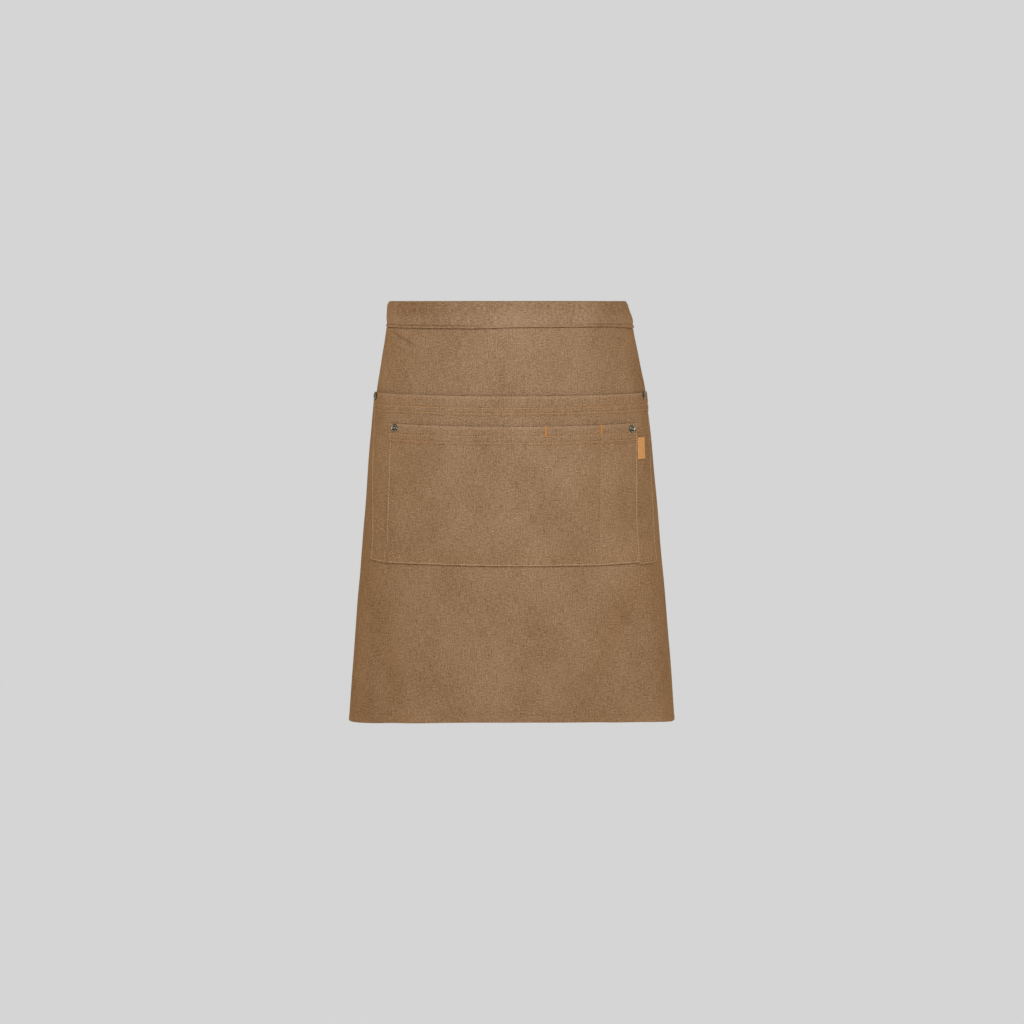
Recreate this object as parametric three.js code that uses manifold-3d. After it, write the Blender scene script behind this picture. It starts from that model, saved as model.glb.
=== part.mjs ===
// Waist apron in its worn form: a canvas panel wrapped round the hips under a folded waistband,
// a wide patch pocket, a smaller parted pocket on it, four rivets, a leather tab and a back tape.
// Millimetres, +Z up, +X to the right as seen from the front, the front towards -Y.
// The origin is the centre of the waist, halfway up the waistband.

import * as THREE from "three";
import { mergeVertices } from "three/addons/utils/BufferGeometryUtils.js";
import Module from "manifold-3d";

const wasm = await Module();
wasm.setup();

// Cloth layers
const CLOTH = 1.2;
const BAND_CLOTH = 1.1;
const SEAM_GAP = 0.3;
const HEM_FOLD = 1.0;
const HEM_WIDTH = 9;
const POCKET_HEM = 22;

// Lengths down the front, from the top edge of the waistband
const BAND_HEIGHT = 31;
const PANEL_TOP = 21;
const LARGE_TOP = 113;
const FRONT_TOP = 149;
const POCKET_BOTTOM = 319;
const HEM_BOTTOM = 510;

// Widths across the cloth as it lies flat, from the middle of the panel
const PANEL_HALF = 360;
const LARGE_HALF = 196;
const FRONT_LEFT = -159;
const FRONT_RIGHT = 161;
const FIRST_DIVIDER = 38;
const SECOND_DIVIDER = 106.5;
const BAND_OVERHANG = 3;

// The panel's middle sits this far to the right of the middle of the body
const WORN_SHIFT = 4;

// How far each pocket stands open in the middle of its mouth
const LARGE_GAPE = 7;
const MAIN_GAPE = 7;
const NARROW_GAPE = 2.5;
const GAPE_EDGE = 1.4;
const LARGE_FLAT_EDGE = 12;
const FRONT_FLAT_EDGE = 17;
const GAPE_BELLY = 1.6;

// Rivets
const RIVET_RADIUS = 5;
const RIVET_HEIGHT = 1.7;
const RIVET_STEM = 1.5;
const RIVET_BACK = 3.4;
const RIVET_BACK_THICKNESS = 0.6;
const RIVET_BACK_GAP = 0.75;
const RIVET_SEGMENTS = 16;

// Rivets at the mouth corners: shift is to the right of a pocket's edge, fall is below its mouth
const LARGE_RIVET_PLACES = [
  { name: "rivet_large_left", edge: -LARGE_HALF, shift: 7, fall: 4.8 },
  { name: "rivet_large_right", edge: LARGE_HALF, shift: -16, fall: 4 },
];
const FRONT_RIVET_PLACES = [
  { name: "rivet_front_left", edge: FRONT_LEFT, shift: 9.5, fall: 5.6 },
  { name: "rivet_front_right", edge: FRONT_RIGHT, shift: -9.5, fall: 7 },
];

// Leather tab at the right edge of the front pocket
const TAB_WIDTH = 12.5;
const TAB_THICKNESS = 1.6;
const TAB_TOP = 167;
const TAB_BOTTOM = 193.7;

// Tape that closes the waist behind, tucked into both ends of the waistband
const TIE_TOP = 3.5;
const TIE_BOTTOM = 19.5;
const TIE_THICKNESS = 0.9;
const TIE_TUCK = 16;

// Spacing of the facets across the cloth, shared by all layers so that they nest
const GRID = 14;

// The body's oval at levels below the top edge. left and right are half-widths, depth runs from
// the front to the widest plane, turn is half the front arc in degrees, and lift is how much
// higher than the front the cloth lies behind, most of it gained by LIFT_ARC round the body.
const SECTIONS = [
  { drop: 0, left: 149.5, right: 149.5, depth: 95, turn: 42, lift: -1 },
  { drop: 31, left: 151.0, right: 150.6, depth: 96, turn: 42, lift: 0.5 },
  { drop: 75, left: 158.3, right: 159.3, depth: 98, turn: 40, lift: 1 },
  { drop: 113, left: 165.8, right: 166.8, depth: 100, turn: 38, lift: 2.5 },
  { drop: 220, left: 175.8, right: 178.3, depth: 102, turn: 36, lift: 2.6 },
  { drop: 319, left: 184.2, right: 187.8, depth: 102, turn: 34, lift: 2.5 },
  { drop: 415, left: 192.6, right: 196.6, depth: 100, turn: 31, lift: -5 },
  { drop: 510, left: 201.0, right: 205.4, depth: 98, turn: 27, lift: -17.5 },
];
const LIFT_ARC = 240;

// Soft folds, each from one place on the cloth to another: strongest midway, half is the
// half-width and height is outwards.
const FOLDS = [
  { fromAcross: 186, fromDrop: -30, toAcross: 186, toDrop: 30, half: 46, height: -7 },
  { fromAcross: -177, fromDrop: 325, toAcross: -128, toDrop: 695, half: 22, height: -6 },
  { fromAcross: 166, fromDrop: 322, toAcross: 116, toDrop: 500, half: 22, height: -4.5 },
  { fromAcross: 190, fromDrop: 330, toAcross: 186, toDrop: 660, half: 19, height: 4 },
  { fromAcross: -64, fromDrop: 322, toAcross: 12, toDrop: 470, half: 20, height: -2.4 },
  { fromAcross: 74, fromDrop: 322, toAcross: 6, toDrop: 470, half: 20, height: -2.4 },
  { fromAcross: -292, fromDrop: 120, toAcross: -306, toDrop: 760, half: 30, height: 9 },
  { fromAcross: -345, fromDrop: 150, toAcross: -350, toDrop: 800, half: 22, height: -7 },
  { fromAcross: 296, fromDrop: 120, toAcross: 312, toDrop: 780, half: 32, height: 9 },
  { fromAcross: 350, fromDrop: 150, toAcross: 352, toDrop: 800, half: 20, height: -6 },
];

function sectionValue(column, drop) {
  const last = SECTIONS.length - 1;
  const level = THREE.MathUtils.clamp(drop, SECTIONS[0].drop, SECTIONS[last].drop);
  let row = 0;
  while (row < last - 1 && level > SECTIONS[row + 1].drop) {
    row += 1;
  }
  const slopeAt = (index) => {
    const above = SECTIONS[Math.max(index - 1, 0)];
    const below = SECTIONS[Math.min(index + 1, last)];
    return (below[column] - above[column]) / (below.drop - above.drop);
  };
  const start = SECTIONS[row];
  const end = SECTIONS[row + 1];
  const span = end.drop - start.drop;
  const t = (level - start.drop) / span;
  const bend = t * t * (3 - 2 * t);
  const leave = t * (1 - t) * (1 - t) * span * slopeAt(row);
  const arrive = t * t * (1 - t) * span * slopeAt(row + 1);
  return start[column] + bend * (end[column] - start[column]) + leave - arrive;
}

// One half of the oval: a wide front arc, a tight side arc and a wide back arc, all tangent.
function ovalHalf(side, drop) {
  const half = sectionValue(side, drop);
  const depth = sectionValue("depth", drop);
  const turn = THREE.MathUtils.degToRad(sectionValue("turn", drop));
  const spread = (half - depth) / (Math.sin(turn) + Math.cos(turn) - 1);
  const sideRadius = half - spread * Math.sin(turn);
  const frontRadius = sideRadius + spread;
  const frontArc = frontRadius * turn;
  const sideArc = sideRadius * (Math.PI - 2 * turn);
  return { depth, turn, spread, sideRadius, frontRadius, frontArc, sideArc };
}

function halfLoop(side, drop) {
  const oval = ovalHalf(side, drop);
  return 2 * oval.frontArc + oval.sideArc;
}

function foldHeight(across, drop) {
  let height = 0;
  for (const fold of FOLDS) {
    const along = (drop - fold.fromDrop) / (fold.toDrop - fold.fromDrop);
    if (along > 0 && along < 1) {
      const middle = THREE.MathUtils.lerp(fold.fromAcross, fold.toAcross, along);
      const beside = (across - middle) / fold.half;
      height += fold.height * Math.sin(Math.PI * along) ** 2 * Math.exp(-beside * beside);
    }
  }
  return height;
}

// A place on the cloth: across from the panel's middle, down from the top edge, and outwards
// from the inner face of the panel.
function clothPoint(across, drop, offset) {
  const bodyArc = across + WORN_SHIFT;
  const sign = bodyArc < 0 ? -1 : 1;
  const arc = Math.abs(bodyArc);
  const oval = ovalHalf(sign < 0 ? "left" : "right", drop);
  let angle = arc / oval.frontRadius;
  let radius = oval.frontRadius;
  let centreX = 0;
  let centreY = oval.frontRadius - oval.depth;
  if (arc >= oval.frontArc + oval.sideArc) {
    angle = Math.PI - oval.turn + (arc - oval.frontArc - oval.sideArc) / oval.frontRadius;
    centreY = oval.depth - oval.frontRadius;
  } else if (arc >= oval.frontArc) {
    angle = oval.turn + (arc - oval.frontArc) / oval.sideRadius;
    radius = oval.sideRadius;
    centreX = oval.spread * Math.sin(oval.turn);
    centreY = 0;
  }
  const reach = radius + offset + foldHeight(across, drop);
  const round = arc / LIFT_ARC;
  const rise = (sectionValue("lift", drop) * round ** 2) / Math.cbrt(1 + round ** 6);
  return new THREE.Vector3(
    sign * (centreX + reach * Math.sin(angle)),
    centreY - reach * Math.cos(angle),
    BAND_HEIGHT / 2 - drop + rise,
  );
}

function spread(from, to, step) {
  const count = Math.max(1, Math.round((to - from) / step));
  return Array.from({ length: count + 1 }, (_, i) => from + ((to - from) * i) / count);
}

// Both ends, and the shared grid lines between them.
function gridBetween(from, to) {
  const lines = [from];
  for (let line = Math.ceil((from + 1) / GRID) * GRID; line < to - 1; line += GRID) {
    lines.push(line);
  }
  return [...lines, to];
}

// A closed wall: an outline of [offset, drop] pairs, down its outer side and up its inner side,
// carried from station to station across the cloth.
function sweptWall(stations, outlineAt) {
  const rings = stations.map((across) => outlineAt(across));
  const count = rings[0].length;
  const positions = [];
  rings.forEach((ring, i) => {
    ring.forEach(([offset, drop]) => {
      positions.push(...clothPoint(stations[i], drop, offset).toArray());
    });
  });
  const index = [];
  for (let i = 0; i < stations.length - 1; i += 1) {
    for (let j = 0; j < count; j += 1) {
      const here = i * count + j;
      const next = i * count + ((j + 1) % count);
      index.push(here, next, next + count, here, next + count, here + count);
    }
  }
  const capFaces = (ring) => {
    const contour = ring.map(([offset, drop]) => new THREE.Vector2(offset, -drop));
    return THREE.ShapeUtils.triangulateShape(contour, []).map((face) => {
      const area = THREE.ShapeUtils.area(face.map((corner) => contour[corner]));
      return area < 0 ? face : [face[0], face[2], face[1]];
    });
  };
  const lastStart = (stations.length - 1) * count;
  capFaces(rings[0]).forEach(([a, b, c]) => index.push(a, c, b));
  capFaces(rings[rings.length - 1]).forEach(([a, b, c]) => {
    index.push(lastStart + a, lastStart + b, lastStart + c);
  });
  const geometry = new THREE.BufferGeometry();
  geometry.setAttribute("position", new THREE.Float32BufferAttribute(positions, 3));
  geometry.setIndex(index);
  return geometry;
}

// Skirt panel: double along its hem and back edges, where the cloth is folded inwards.
const PANEL_ROWS = [
  PANEL_TOP,
  BAND_HEIGHT + 1,
  ...spread(BAND_HEIGHT + 2, LARGE_TOP, 26),
  ...spread(LARGE_TOP, POCKET_BOTTOM, 29).slice(1),
  ...spread(POCKET_BOTTOM, HEM_BOTTOM - HEM_WIDTH - 1, 36).slice(1),
  HEM_BOTTOM - HEM_WIDTH,
  HEM_BOTTOM,
];

function panelInner(across, drop) {
  const atEdge = Math.abs(across) > PANEL_HALF - HEM_WIDTH;
  const atHem = drop >= HEM_BOTTOM - HEM_WIDTH;
  const belowBand = drop >= BAND_HEIGHT + 2;
  return belowBand && (atEdge || atHem) ? -HEM_FOLD : 0;
}

const panelStations = [
  -PANEL_HALF,
  -PANEL_HALF + HEM_WIDTH - 0.5,
  ...gridBetween(-PANEL_HALF + HEM_WIDTH, PANEL_HALF - HEM_WIDTH),
  PANEL_HALF - HEM_WIDTH + 0.5,
  PANEL_HALF,
];
const panelGeometry = sweptWall(panelStations, (across) => [
  ...PANEL_ROWS.map((drop) => [CLOTH, drop]),
  ...PANEL_ROWS.map((drop) => [panelInner(across, drop), drop]).reverse(),
]);

// Waistband: one strip folded over the top, its two lips either side of the panel.
const bandOuter = CLOTH + SEAM_GAP + BAND_CLOTH;
const bandInner = -SEAM_GAP - BAND_CLOTH;
const bandMiddle = (bandOuter + bandInner) / 2;
const bandRadius = (bandOuter - bandInner) / 2;
const slotRadius = bandRadius - BAND_CLOTH;
const BAND_ROWS = spread(bandRadius, BAND_HEIGHT, 10);

function bandOutline() {
  const foldArc = spread(0, Math.PI, Math.PI / 4).slice(1, -1);
  const slotRows = BAND_ROWS.map((drop) => Math.max(drop, bandRadius));
  return [
    ...BAND_ROWS.map((drop) => [bandOuter, drop]),
    ...slotRows.map((drop) => [bandOuter - BAND_CLOTH, drop]).reverse(),
    [bandMiddle, bandRadius - slotRadius],
    ...slotRows.map((drop) => [bandInner + BAND_CLOTH, drop]),
    ...BAND_ROWS.map((drop) => [bandInner, drop]).reverse(),
    ...foldArc.map((turn) => [
      bandMiddle - bandRadius * Math.cos(turn),
      bandRadius - bandRadius * Math.sin(turn),
    ]),
  ];
}

const bandStations = gridBetween(-PANEL_HALF - BAND_OVERHANG, PANEL_HALF + BAND_OVERHANG);
const bandGeometry = sweptWall(bandStations, bandOutline);

// Pockets: each stands off the layer beneath by the seam gap, by its folded mouth hem, and by
// how far it gapes, which is nothing along its sides, bottom and dividing seams.
function mouthHem(drop, top) {
  return HEM_FOLD * (1 - THREE.MathUtils.smoothstep(drop, top + POCKET_HEM, top + POCKET_HEM + 12));
}

function gapeShape(across, from, to, drop, top) {
  const beside = (2 * across - from - to) / (to - from);
  const down = THREE.MathUtils.clamp((drop - top) / (POCKET_BOTTOM - top), 0, 1);
  return Math.max(0, 1 - beside * beside) ** GAPE_EDGE * (1 - down ** GAPE_BELLY);
}

function largeOuter(across, drop) {
  const edge = LARGE_HALF - LARGE_FLAT_EDGE;
  const gape = LARGE_GAPE * gapeShape(across, -edge, edge, drop, LARGE_TOP);
  return 2 * CLOTH + SEAM_GAP + mouthHem(drop, LARGE_TOP) + gape;
}

const COMPARTMENTS = [
  { from: FRONT_LEFT + FRONT_FLAT_EDGE, to: FIRST_DIVIDER, gape: MAIN_GAPE },
  { from: FIRST_DIVIDER, to: SECOND_DIVIDER, gape: NARROW_GAPE },
  { from: SECOND_DIVIDER, to: FRONT_RIGHT - FRONT_FLAT_EDGE, gape: NARROW_GAPE },
];

function frontOuter(across, drop) {
  let gape = 0;
  for (const pocket of COMPARTMENTS) {
    gape += pocket.gape * gapeShape(across, pocket.from, pocket.to, drop, FRONT_TOP);
  }
  const beneath = largeOuter(THREE.MathUtils.clamp(across, -LARGE_HALF, LARGE_HALF), drop);
  return beneath + SEAM_GAP + CLOTH + mouthHem(drop, FRONT_TOP) + gape;
}

function pocketWall(stations, top, outerAt) {
  const rows = [
    top,
    top + POCKET_HEM,
    top + POCKET_HEM + 0.5,
    ...spread(top + POCKET_HEM + 12, POCKET_BOTTOM, 26),
  ];
  return sweptWall(stations, (across) => [
    ...rows.map((drop) => [outerAt(across, drop), drop]),
    ...rows.map((drop) => {
      const inHem = drop <= top + POCKET_HEM;
      return [outerAt(across, drop) - CLOTH - (inHem ? HEM_FOLD : 0), drop];
    }).reverse(),
  ]);
}

const largeGeometry = pocketWall(gridBetween(-LARGE_HALF, LARGE_HALF), LARGE_TOP, largeOuter);
const frontStations = [
  ...gridBetween(FRONT_LEFT, FIRST_DIVIDER),
  ...gridBetween(FIRST_DIVIDER, SECOND_DIVIDER).slice(1),
  ...gridBetween(SECOND_DIVIDER, FRONT_RIGHT).slice(1),
];
const frontGeometry = pocketWall(frontStations, FRONT_TOP, frontOuter);

// Leather tab lying on the large pocket beside the front pocket's edge.
const tabStations = spread(FRONT_RIGHT + SEAM_GAP, FRONT_RIGHT + SEAM_GAP + TAB_WIDTH, 3);
const TAB_ROWS = spread(TAB_TOP, TAB_BOTTOM, 9);
const tabGeometry = sweptWall(tabStations, (across) => [
  ...TAB_ROWS.map((drop) => [largeOuter(across, drop) + SEAM_GAP + TAB_THICKNESS, drop]),
  ...TAB_ROWS.map((drop) => [largeOuter(across, drop) + SEAM_GAP, drop]).reverse(),
]);

// Back tape, round the back from one end of the waistband to the other.
const tieMiddle = (TIE_TOP + TIE_BOTTOM) / 2;
const tieRight = halfLoop("right", tieMiddle) - WORN_SHIFT;
const tieLeft = -halfLoop("left", tieMiddle) - WORN_SHIFT;
const tieStations = [
  ...spread(PANEL_HALF + BAND_OVERHANG - TIE_TUCK, tieRight, 8),
  ...spread(tieLeft, -PANEL_HALF - BAND_OVERHANG + TIE_TUCK, 8).slice(1),
];
const tieOuter = bandMiddle + TIE_THICKNESS / 2;
const tieInner = bandMiddle - TIE_THICKNESS / 2;
const tieGeometry = sweptWall(tieStations, () => [
  [tieOuter, TIE_TOP],
  [tieOuter, TIE_BOTTOM],
  [tieInner, TIE_BOTTOM],
  [tieInner, TIE_TOP],
]);

// Rivets: a ringed cap outside, a stem through the layers and a flat back head.
function onPocket({ name, edge, shift, fall }, top, outer) {
  return { name, across: edge + shift, drop: top + fall, outer };
}

const LARGE_RIVETS = LARGE_RIVET_PLACES.map((place) => onPocket(place, LARGE_TOP, largeOuter));
const FRONT_RIVETS = FRONT_RIVET_PLACES.map((place) => onPocket(place, FRONT_TOP, frontOuter));
const RIVETS = [...LARGE_RIVETS, ...FRONT_RIVETS];

function rivetSeat(rivet) {
  const { across, drop } = rivet;
  const seatAt = (shift, fall) => clothPoint(
    across + shift,
    drop + fall,
    rivet.outer(across + shift, drop + fall),
  );
  const alongCloth = seatAt(1, 0).sub(seatAt(-1, 0));
  const downCloth = seatAt(0, 1).sub(seatAt(0, -1));
  const outwards = downCloth.cross(alongCloth).normalize();
  const onFront = rivet.outer === frontOuter;
  const beneath = onFront ? largeOuter(across, drop) - CLOTH : 0;
  const stack = rivet.outer(across, drop) - beneath;
  const turn = new THREE.Quaternion().setFromUnitVectors(new THREE.Vector3(0, 1, 0), outwards);
  return { place: seatAt(0, 0), turn, stack };
}

function rivetGeometry(stack) {
  const backTop = -stack - RIVET_BACK_GAP;
  const backBottom = backTop - RIVET_BACK_THICKNESS;
  const profile = [
    [0, backBottom],
    [RIVET_BACK, backBottom],
    [RIVET_BACK, backTop],
    [RIVET_STEM, backTop],
    [RIVET_STEM, SEAM_GAP],
    [RIVET_RADIUS, SEAM_GAP],
    [RIVET_RADIUS, 0.5 * RIVET_HEIGHT],
    [0.86 * RIVET_RADIUS, 0.85 * RIVET_HEIGHT],
    [0.7 * RIVET_RADIUS, 0.85 * RIVET_HEIGHT],
    [0.6 * RIVET_RADIUS, 0.5 * RIVET_HEIGHT],
    [0.4 * RIVET_RADIUS, 0.5 * RIVET_HEIGHT],
    [0.3 * RIVET_RADIUS, 0.9 * RIVET_HEIGHT],
    [0, RIVET_HEIGHT],
  ];
  return new THREE.LatheGeometry(profile.map(([r, h]) => new THREE.Vector2(r, h)), RIVET_SEGMENTS);
}

function asSolid(geometry) {
  const bare = geometry.clone();
  bare.deleteAttribute("normal");
  bare.deleteAttribute("uv");
  const merged = mergeVertices(bare, 1e-4);
  return new wasm.Manifold(new wasm.Mesh({
    numProp: 3,
    vertProperties: Float32Array.from(merged.attributes.position.array),
    triVerts: Uint32Array.from(merged.index.array),
  }));
}

function asGeometry(solid) {
  const mesh = solid.getMesh();
  const geometry = new THREE.BufferGeometry();
  geometry.setAttribute("position", new THREE.BufferAttribute(mesh.vertProperties, 3));
  geometry.setIndex(new THREE.BufferAttribute(mesh.triVerts, 1));
  return geometry;
}

const HOLE_LENGTH = 40;
function pierced(geometry, rivets) {
  let solid = asSolid(geometry);
  for (const rivet of rivets) {
    const seat = rivetSeat(rivet);
    const bore = new THREE.CylinderGeometry(
      RIVET_STEM + SEAM_GAP,
      RIVET_STEM + SEAM_GAP,
      HOLE_LENGTH,
      12,
    );
    bore.applyQuaternion(seat.turn);
    bore.translate(seat.place.x, seat.place.y, seat.place.z);
    solid = solid.subtract(asSolid(bore));
  }
  return asGeometry(solid);
}

const canvas = new THREE.MeshStandardMaterial({ color: 0x98785a, roughness: 0.92, metalness: 0 });
const bandCanvas = new THREE.MeshStandardMaterial({ color: 0xa07e62, roughness: 0.92, metalness: 0 });
const nickel = new THREE.MeshStandardMaterial({ color: 0x8d8a84, roughness: 0.4, metalness: 1 });
const leather = new THREE.MeshStandardMaterial({ color: 0xb9803f, roughness: 0.6, metalness: 0 });
const tape = new THREE.MeshStandardMaterial({ color: 0x987a5e, roughness: 0.9, metalness: 0 });

function piece(name, geometry, material) {
  const shaded = geometry.clone();
  shaded.computeVertexNormals();
  const mesh = new THREE.Mesh(shaded, material);
  mesh.name = name;
  return mesh;
}

const apron = new THREE.Group();
apron.add(
  piece("skirt_panel", pierced(panelGeometry, LARGE_RIVETS), canvas),
  piece("waistband", bandGeometry, bandCanvas),
  piece("large_pocket", pierced(largeGeometry, RIVETS), canvas),
  piece("front_pocket", pierced(frontGeometry, FRONT_RIVETS), canvas),
  piece("side_tab", tabGeometry, leather),
  piece("back_tie", tieGeometry, tape),
);
for (const rivet of RIVETS) {
  const seat = rivetSeat(rivet);
  const mesh = piece(rivet.name, rivetGeometry(seat.stack), nickel);
  mesh.position.copy(seat.place);
  mesh.quaternion.copy(seat.turn);
  apron.add(mesh);
}

export default apron;
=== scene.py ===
import math

import bpy
import numpy as np
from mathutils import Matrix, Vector


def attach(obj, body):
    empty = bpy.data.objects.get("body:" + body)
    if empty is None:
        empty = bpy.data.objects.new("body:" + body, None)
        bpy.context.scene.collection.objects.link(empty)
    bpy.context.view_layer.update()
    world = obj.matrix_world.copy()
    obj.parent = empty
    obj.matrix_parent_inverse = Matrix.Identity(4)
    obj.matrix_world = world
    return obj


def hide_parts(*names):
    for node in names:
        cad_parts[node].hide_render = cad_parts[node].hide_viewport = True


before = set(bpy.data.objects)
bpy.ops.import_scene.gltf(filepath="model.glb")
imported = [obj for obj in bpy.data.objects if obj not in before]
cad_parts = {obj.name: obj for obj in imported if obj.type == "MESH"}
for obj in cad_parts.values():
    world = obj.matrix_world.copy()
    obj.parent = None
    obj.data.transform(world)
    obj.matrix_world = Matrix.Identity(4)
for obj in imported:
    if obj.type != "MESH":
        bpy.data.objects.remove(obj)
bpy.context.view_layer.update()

# Waist apron in its worn form: smooth cloth, thread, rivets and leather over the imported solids.
# Places on the cloth are in millimetres: across from the panel's middle, drop below the top edge
# of the waistband, and offset outwards from the inner face of the panel.

MM = 0.001

# Cloth layers, as in the solids
CLOTH = 1.2
BAND_CLOTH = 1.1
SEAM_GAP = 0.3
HEM_FOLD = 1.0
HEM_WIDTH = 9
HEM_STEP = 1
POCKET_HEM = 22
POCKET_HEM_EASE = 3
POCKET_HEM_STEP = 0.8

# Lengths down the front
BAND_HEIGHT = 31
PANEL_TOP = 21
LARGE_TOP = 113
FRONT_TOP = 149
POCKET_BOTTOM = 319
HEM_BOTTOM = 510

# Edges and dividing seams across the flat cloth
PANEL_HALF = 360
LARGE_HALF = 196
FRONT_LEFT = -159
FRONT_RIGHT = 161
FIRST_DIVIDER = 38
SECOND_DIVIDER = 106.5
DIVIDERS = (FIRST_DIVIDER, SECOND_DIVIDER)
BAND_OVERHANG = 3
BAND_HALF = PANEL_HALF + BAND_OVERHANG
WORN_SHIFT = 4

# How far the pockets stand open, and how their bottom seam presses the cloth thin
LARGE_GAPE = 7
MAIN_GAPE = 7
NARROW_GAPE = 2.5
GAPE_EDGE = 1.4
GAPE_BELLY = 1.6
LIP = 0.1
LIP_REACH = 70
LARGE_FLAT_EDGE = 12
FRONT_FLAT_EDGE = 17
SEAM_PRESS = 0.6
SEAM_PRESS_REACH = 20
SEAM_PRESS_FULL = 1

# Rivets, leather tab and back tape
RIVET_RADIUS = 5
RIVET_HEIGHT = 1.7
RIVET_RIM = 0.15
RIVET_STEM = 1.5
RIVET_BACK = 3.4
RIVET_BACK_THICKNESS = 0.6
RIVET_BACK_GAP = 0.75
RIVET_BACK_ROUNDING = (0.3, 0.2)
RIVET_BACK_BEVEL = 0.1
TAB_WIDTH = 12.5
TAB_THICKNESS = 1.6
TAB_TOP = 167
TAB_BOTTOM = 193.7
TAB_CURL = 0.7
TIE_TOP = 3.5
TIE_BOTTOM = 19.5
TIE_THICKNESS = 0.9
TIE_ROUNDING = 0.6
TIE_TUCK = 16

# The body's oval by level, as in the solids
SECTIONS = {
    "drop": (0, 31, 75, 113, 220, 319, 415, 510),
    "left": (149.5, 151.0, 158.3, 165.8, 175.8, 184.2, 192.6, 201.0),
    "right": (149.5, 150.6, 159.3, 166.8, 178.3, 187.8, 196.6, 205.4),
    "depth": (95, 96, 98, 100, 102, 102, 100, 98),
    "turn": (42, 42, 40, 38, 36, 34, 31, 27),
    "lift": (-1, 0.5, 1, 2.5, 2.6, 2.5, -5, -17.5),
}
LIFT_ARC = 240

# Folds: from one place on the cloth to another, half-width and height outwards. The broad ones
# are those of the solids.
FOLD_COLUMNS = ("from_across", "from_drop", "to_across", "to_drop", "half", "height")
BROAD_FOLDS = (
    (186, -30, 186, 30, 46, -7),
    (-177, 325, -128, 695, 22, -6),
    (166, 322, 116, 500, 22, -4.5),
    (190, 330, 186, 660, 19, 4),
    (-64, 322, 12, 470, 20, -2.4),
    (74, 322, 6, 470, 20, -2.4),
    (-292, 120, -306, 760, 30, 9),
    (-345, 150, -350, 800, 22, -7),
    (296, 120, 312, 780, 32, 9),
    (350, 150, 352, 800, 20, -6),
)
FINE_FOLDS = (
    (-180, 33.5, -110, 63, 6, -3.6),
    (-174, 40, -100, 74, 14, 1.8),
    (-197, 325, -187, 660, 24, -4.3),
    (-128, 330, -120, 640, 26, 1.6),
    (-152, 345, -145, 560, 20, 1.9),
    (146, 360, 118, 480, 16, -1.2),
    (-150, 130, -150, 370, 24, 1.5),
    (152, 235, 150, 415, 28, 1.3),
)

# Hollows where the cloth is drawn in: middle and half-width across, the drops where each begins,
# is full, is still full and ends, and its depth
CORNER_HOLLOW = (-212, 50, 64, 112, 113, 121, 2.6)
HOLLOWS = (
    CORNER_HOLLOW,
    (10, 115, -2, 12, 13, 33, 2.0),
    (-212, 60, -2, -1, 60, 112, 0.8),
    (-205, 45, -2, -1, 0, 6, 2.0),
    (200, 45, -2, -1, 0, 6, 2.0),
    (-208, 40, 21, 26, 29, 34, 1.0),
    (203, 40, 22, 27, 30, 35, 0.8),
    (205, 50, 20, 45, 85, 112, 0.6),
    (-208, 40, 318, 345, 385, 425, 0.7),
)

# Slight unevenness of the hanging cloth: wave lengths, phase and height
RIPPLES = (
    (170, 240, 0.4, 0.30),
    (-120, 190, 2.1, 0.26),
    (75, 310, 4.4, 0.16),
    (-260, 90, 1.2, 0.18),
)

# How much lower than level each lower edge hangs: the level, the drops where this begins and is
# full, and steps across the cloth. A step is a start, an end and the change between them.
BAND_FADE = 12
BAND_EDGE = (0.3, BAND_FADE, BAND_HEIGHT, ((-230, -130, 1.75), (-45, 15, -1.75)))
BAND_CORNER = (0, 25, BAND_HEIGHT, ((115, 185, 2.6),))
PANEL_EDGE = (-0.5, 430, HEM_BOTTOM, ((30, 120, -1.1), (115, 190, -1.6), (185, 222, 1.6)))
LARGE_EDGE = (
    -1.6, 285, POCKET_BOTTOM, ((-135, -160, 2.5), (-165, -196, -1.9), (150, 166, 4.9), (182, 197, -1.3)),
)
FRONT_EDGE = (-0.9, 275, POCKET_BOTTOM, ((-90, -158, 1.4), (0, 60, 0.6), (60, 110, 1.1)))

# How far to the right of straight each pocket's left and right sides are sewn: the places across
# where this begins and is full, and steps down the side
LARGE_SIDES = (
    (-120, -190, ((165, 300, 9.9), (297, POCKET_BOTTOM, -3.7))),
    (130, 190, ((165, 240, -4.5), (297, POCKET_BOTTOM, 5.0))),
)
FRONT_SIDES = (
    (-125, -157, ((220, 275, -1.6), (293, 309, -5.2))),
    (125, 158, ((190, 240, -1.1), (268, 316, 2.7))),
)

# Seams and hems that are stitched, by where their rows run
BAND_TOP_ROW = 7.5
BAND_CREASE = 27.9
BAND_LOW_ROW = 29.5
LARGE_HEM_ROWS = (128.1, 134.4)
FRONT_HEM_ROWS = (161.7, 169.3)
EDGE_ROW = 2.6
BOTTOM_ROW = POCKET_BOTTOM - 1.5
BOTTOM_CREASE = BOTTOM_ROW - 1
PANEL_HEM_ROW = 501.2
BACK_ROW = PANEL_HALF - HEM_WIDTH + 1.5
INSIDE_SHIFT = 1
UNDER_BAND_DROP = 0.4
UNDER_POCKET_DROP = 0.5

# Depth and width of the grooves that the seams press into the cloth
SEAM_GROOVE = (0.45, 1.5)
HEM_GROOVE = (0.6, 1.0)
FRONT_UPPER_GROOVE = (0.5, 1.0)
BOTTOM_GROOVE = (0.25, 1.0)
BAND_ROW_GROOVE = (0.3, 1.2)
BAND_BACK_GROOVE = (0.3, 1.5)
BAND_CREASE_GROOVE = (0.85, 0.6)
UNDER_BAND_GROOVE = (0.7, 0.7)

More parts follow.
